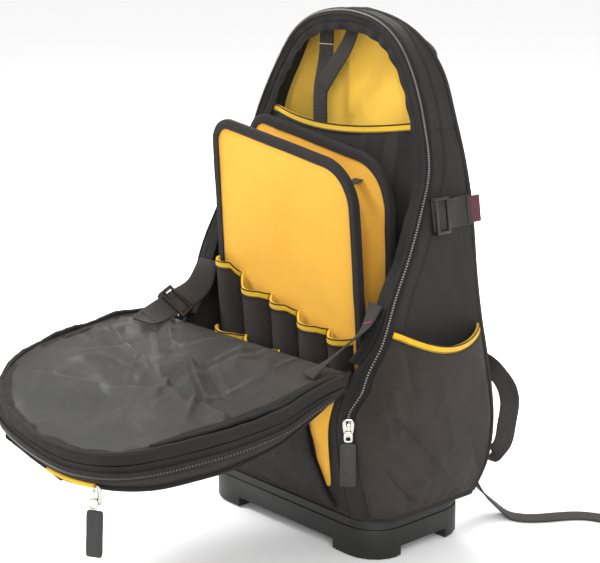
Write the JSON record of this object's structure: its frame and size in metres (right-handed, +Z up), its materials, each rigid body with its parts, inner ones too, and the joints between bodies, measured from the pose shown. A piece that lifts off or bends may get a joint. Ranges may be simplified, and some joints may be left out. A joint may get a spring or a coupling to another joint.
{
  "type": "tool backpack",
  "caption": "Soft tool backpack standing open on a moulded base, with its front flap let down on stay straps, inner dividers, tool pockets, side pockets and shoulder straps.",
  "frame": {"origin": "on the floor, under the middle of the whole part's box, let-down flap and free strap end included", "axes": "+Z up from the floor through the carry handle; +Y from the let-down front flap towards the padded back; +X to the right of someone who faces the front flap"},
  "size_m": [0.3812, 0.537, 0.5018],
  "materials": {
    "moulded_base": "moulded black plastic, very fine matte grain",
    "black_cloth": "black woven pack cloth with a faint sheen",
    "black_trim": "plain black cloth and binding tape",
    "black_webbing": "black ribbed webbing",
    "pocket_mesh": "open black mesh cloth",
    "yellow_cloth": "yellow lining cloth",
    "yellow_binding": "yellow binding tape with black stitching",
    "flap_lining_cloth": "smooth dark grey lining cloth with a soft sheen",
    "zip_tape": "black zip tape with grey teeth",
    "buckle_plastic": "moulded black plastic",
    "slider_metal": "bright cast metal",
    "pull_rubber": "soft black rubber",
    "maroon_cloth": "dark maroon woven tape",
    "padded_cloth": "black padded cloth"
  },
  "bodies": {
    "root": {"base_tray": "moulded_base", "side_panel_right": "black_cloth", "side_panel_left": "black_cloth", "top_panel": "black_cloth", "front_wall": "black_cloth", "back_panel": "padded_cloth", "opening_flange": "black_trim", "body_zip": "zip_tape", "main_zip_slider": "slider_metal", "main_zip_tongue": "slider_metal", "main_zip_pull": "pull_rubber", "divider_front_board": "yellow_cloth", "divider_front_binding": "black_trim", "upper_pockets": "black_cloth", "upper_pockets_binding": "yellow_binding", "lower_pockets": "black_cloth", "lower_pockets_binding": "yellow_binding", "divider_rear_board": "yellow_cloth", "divider_rear_binding": "black_trim", "divider_link_left": "black_webbing", "divider_link_right": "black_webbing", "back_lining": "yellow_cloth", "back_pocket": "black_cloth", "back_pocket_binding": "yellow_binding", "level_strap_long": "black_webbing", "level_strap_short": "black_webbing", "side_pocket_right": "black_cloth", "side_pocket_right_binding": "yellow_binding", "side_pocket_left": "black_cloth", "side_pocket_left_binding": "yellow_binding", "front_pocket_mesh": "pocket_mesh", "front_pocket_edge_right": "black_trim", "front_pocket_edge_left": "black_trim", "front_pocket_lining": "yellow_cloth", "flap_shell": "black_cloth", "flap_rim_band": "black_trim", "flap_lining": "flap_lining_cloth", "flap_zip": "zip_tape", "flap_piping": "yellow_binding", "flap_pocket_slider": "slider_metal", "flap_pocket_tongue": "slider_metal", "flap_pocket_pull": "pull_rubber", "stay_strap_left": "black_webbing", "stay_strap_right": "black_webbing", "stay_buckle_left": "buckle_plastic", "compression_buckle_right": "buckle_plastic", "compression_strap_right": "black_webbing", "compression_tab_right": "maroon_cloth", "compression_buckle_left": "buckle_plastic", "compression_strap_left": "black_webbing", "compression_tab_left": "maroon_cloth", "carry_handle": "black_webbing", "shoulder_pad_right": "padded_cloth", "shoulder_lock_right": "buckle_plastic", "shoulder_webbing_right": "black_webbing", "shoulder_pad_left": "padded_cloth", "shoulder_lock_left": "buckle_plastic", "shoulder_webbing_left": "black_webbing", "shoulder_tail_right": "black_webbing", "shoulder_tail_left": "black_webbing"}
  },
  "joints": []
}
